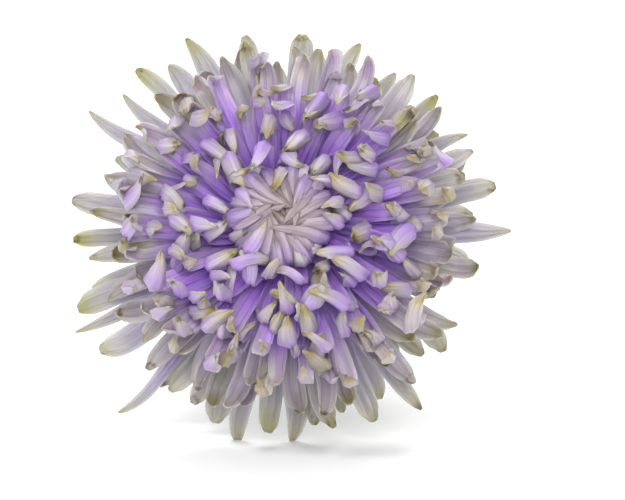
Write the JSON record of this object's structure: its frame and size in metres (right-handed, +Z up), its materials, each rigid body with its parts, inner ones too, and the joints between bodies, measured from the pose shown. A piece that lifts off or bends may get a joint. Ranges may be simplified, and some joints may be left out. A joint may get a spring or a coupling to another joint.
{
  "type": "chrysanthemum",
  "caption": "Single cut disbud chrysanthemum lying on a table, its lilac bloom of hooked ray florets facing forward, on a leafy cut stem.",
  "frame": {"origin": "on the table, under the middle of the flower's bounding box", "axes": "+Z up from the table; the stem runs back along +Y and the bloom faces -Y and 16 degrees upwards; +X is to the right of someone who looks at the bloom's face"},
  "size_m": [0.1372, 0.2746, 0.1242],
  "materials": {
    "petal": "soft satin petal, violet at the claw, cream-green at the tip",
    "bract": "matte green",
    "stalk": "satin green, ribbed",
    "leaf": "matte dark green"
  },
  "bodies": {
    "root": {"ray_florets": "petal", "involucre": "bract", "stem": "stalk", "leaf_upper": "leaf", "leaf_middle": "leaf", "leaf_right": "leaf", "leaf_left": "leaf"}
  },
  "joints": []
}
